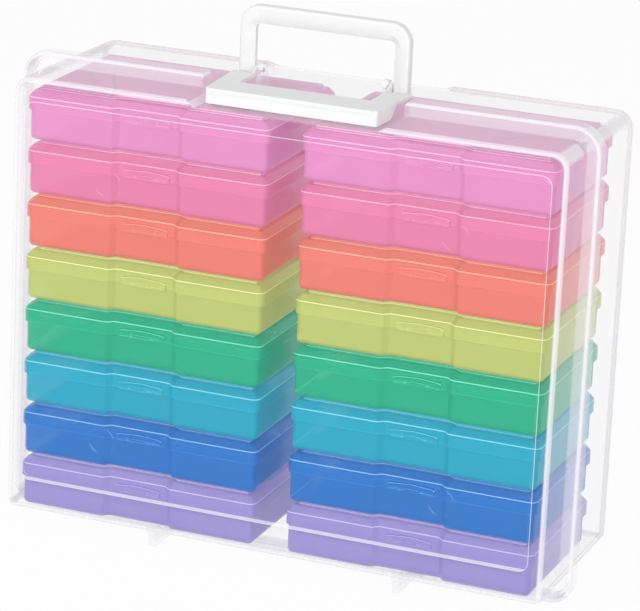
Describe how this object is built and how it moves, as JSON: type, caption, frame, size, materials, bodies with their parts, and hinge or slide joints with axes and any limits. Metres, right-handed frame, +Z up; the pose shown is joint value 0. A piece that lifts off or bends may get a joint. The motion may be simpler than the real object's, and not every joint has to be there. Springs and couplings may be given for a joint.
{
  "type": "photo keeper case",
  "caption": "Clear carrying case with a hinged front cover, white fold-down handle and latch, holding stacked, tinted snap-lid photo boxes.",
  "frame": {"origin": "under the middle of the case, on the plane the feet stand on", "axes": "+X to the right seen from the front, +Y to the back, +Z up"},
  "size_m": [0.387, 0.1344, 0.3535],
  "materials": {
    "clear_case": "clear, slightly frosted moulding",
    "white_plastic": "satin",
    "pin_steel": "drawn",
    "pink_tint": "tinted translucent moulding",
    "rose_tint": "tinted translucent moulding",
    "coral_tint": "tinted translucent moulding",
    "yellow_tint": "tinted translucent moulding",
    "green_tint": "tinted translucent moulding",
    "cyan_tint": "tinted translucent moulding",
    "blue_tint": "tinted translucent moulding",
    "purple_tint": "tinted translucent moulding"
  },
  "bodies": {
    "shell": {"rear_shell": "clear_case", "left_hinge_pin": "pin_steel", "right_hinge_pin": "pin_steel", "left_handle_pin": "pin_steel", "right_handle_pin": "pin_steel"},
    "cover": {"front_cover": "clear_case"},
    "latch": {"latch_plate": "white_plastic"},
    "handle": {"handle": "white_plastic"},
    "left_box_1": {"left_box_1_base": "pink_tint", "left_box_1_lid": "pink_tint"},
    "left_box_2": {"left_box_2_base": "rose_tint", "left_box_2_lid": "rose_tint"},
    "left_box_3": {"left_box_3_base": "coral_tint", "left_box_3_lid": "coral_tint"},
    "left_box_4": {"left_box_4_base": "yellow_tint", "left_box_4_lid": "yellow_tint"},
    "left_box_5": {"left_box_5_base": "green_tint", "left_box_5_lid": "green_tint"},
    "left_box_6": {"left_box_6_base": "cyan_tint", "left_box_6_lid": "cyan_tint"},
    "left_box_7": {"left_box_7_base": "blue_tint", "left_box_7_lid": "blue_tint"},
    "left_box_8": {"left_box_8_base": "purple_tint", "left_box_8_lid": "purple_tint"},
    "right_box_1": {"right_box_1_base": "pink_tint", "right_box_1_lid": "pink_tint"},
    "right_box_2": {"right_box_2_base": "rose_tint", "right_box_2_lid": "rose_tint"},
    "right_box_3": {"right_box_3_base": "coral_tint", "right_box_3_lid": "coral_tint"},
    "right_box_4": {"right_box_4_base": "yellow_tint", "right_box_4_lid": "yellow_tint"},
    "right_box_5": {"right_box_5_base": "green_tint", "right_box_5_lid": "green_tint"},
    "right_box_6": {"right_box_6_base": "cyan_tint", "right_box_6_lid": "cyan_tint"},
    "right_box_7": {"right_box_7_base": "blue_tint", "right_box_7_lid": "blue_tint"},
    "right_box_8": {"right_box_8_base": "purple_tint", "right_box_8_lid": "purple_tint"}
  },
  "joints": [
    {"name": "cover_hinge", "type": "hinge", "parent": "shell", "child": "cover", "pos_m": [0, -0.01875, 0.0036], "axis": [1, 0, 0], "range_deg": [0, 170]},
    {"name": "handle_pivot", "type": "hinge", "parent": "shell", "child": "handle", "pos_m": [0, 0.00025, 0.3115], "axis": [-1, 0, 0], "range_deg": [0, 100]},
    {"name": "latch_pivot", "type": "hinge", "parent": "shell", "child": "latch", "pos_m": [0, 0.00025, 0.3115], "axis": [-1, 0, 0], "range_deg": [0, 60]},
    {"name": "left_box_1_slide", "type": "slide", "parent": "shell", "child": "left_box_1", "axis": [0, -1, 0], "range_m": [0, 0.0655]},
    {"name": "left_box_2_slide", "type": "slide", "parent": "shell", "child": "left_box_2", "axis": [0, -1, 0], "range_m": [0, 0.0655]},
    {"name": "left_box_3_slide", "type": "slide", "parent": "shell", "child": "left_box_3", "axis": [0, -1, 0], "range_m": [0, 0.0655]},
    {"name": "left_box_4_slide", "type": "slide", "parent": "shell", "child": "left_box_4", "axis": [0, -1, 0], "range_m": [0, 0.0655]},
    {"name": "left_box_5_slide", "type": "slide", "parent": "shell", "child": "left_box_5", "axis": [0, -1, 0], "range_m": [0, 0.0655]},
    {"name": "left_box_6_slide", "type": "slide", "parent": "shell", "child": "left_box_6", "axis": [0, -1, 0], "range_m": [0, 0.0655]},
    {"name": "left_box_7_slide", "type": "slide", "parent": "shell", "child": "left_box_7", "axis": [0, -1, 0], "range_m": [0, 0.0655]},
    {"name": "left_box_8_slide", "type": "slide", "parent": "shell", "child": "left_box_8", "axis": [0, -1, 0], "range_m": [0, 0.0655]},
    {"name": "right_box_1_slide", "type": "slide", "parent": "shell", "child": "right_box_1", "axis": [0, -1, 0], "range_m": [0, 0.0655]},
    {"name": "right_box_2_slide", "type": "slide", "parent": "shell", "child": "right_box_2", "axis": [0, -1, 0], "range_m": [0, 0.0655]},
    {"name": "right_box_3_slide", "type": "slide", "parent": "shell", "child": "right_box_3", "axis": [0, -1, 0], "range_m": [0, 0.0655]},
    {"name": "right_box_4_slide", "type": "slide", "parent": "shell", "child": "right_box_4", "axis": [0, -1, 0], "range_m": [0, 0.0655]},
    {"name": "right_box_5_slide", "type": "slide", "parent": "shell", "child": "right_box_5", "axis": [0, -1, 0], "range_m": [0, 0.0655]},
    {"name": "right_box_6_slide", "type": "slide", "parent": "shell", "child": "right_box_6", "axis": [0, -1, 0], "range_m": [0, 0.0655]},
    {"name": "right_box_7_slide", "type": "slide", "parent": "shell", "child": "right_box_7", "axis": [0, -1, 0], "range_m": [0, 0.0655]},
    {"name": "right_box_8_slide", "type": "slide", "parent": "shell", "child": "right_box_8", "axis": [0, -1, 0], "range_m": [0, 0.0655]}
  ],
  "couplings": [
    {"joint": "left_box_1_slide", "follows": "cover_hinge", "m_per_rad": 0.022},
    {"joint": "left_box_2_slide", "follows": "cover_hinge", "m_per_rad": 0.022},
    {"joint": "left_box_3_slide", "follows": "cover_hinge", "m_per_rad": 0.022},
    {"joint": "left_box_4_slide", "follows": "cover_hinge", "m_per_rad": 0.022},
    {"joint": "left_box_5_slide", "follows": "cover_hinge", "m_per_rad": 0.022},
    {"joint": "left_box_6_slide", "follows": "cover_hinge", "m_per_rad": 0.022},
    {"joint": "left_box_7_slide", "follows": "cover_hinge", "m_per_rad": 0.022},
    {"joint": "left_box_8_slide", "follows": "cover_hinge", "m_per_rad": 0.022},
    {"joint": "right_box_1_slide", "follows": "cover_hinge", "m_per_rad": 0.022},
    {"joint": "right_box_2_slide", "follows": "cover_hinge", "m_per_rad": 0.022},
    {"joint": "right_box_3_slide", "follows": "cover_hinge", "m_per_rad": 0.022},
    {"joint": "right_box_4_slide", "follows": "cover_hinge", "m_per_rad": 0.022},
    {"joint": "right_box_5_slide", "follows": "cover_hinge", "m_per_rad": 0.022},
    {"joint": "right_box_6_slide", "follows": "cover_hinge", "m_per_rad": 0.022},
    {"joint": "right_box_7_slide", "follows": "cover_hinge", "m_per_rad": 0.022},
    {"joint": "right_box_8_slide", "follows": "cover_hinge", "m_per_rad": 0.022}
  ]
}
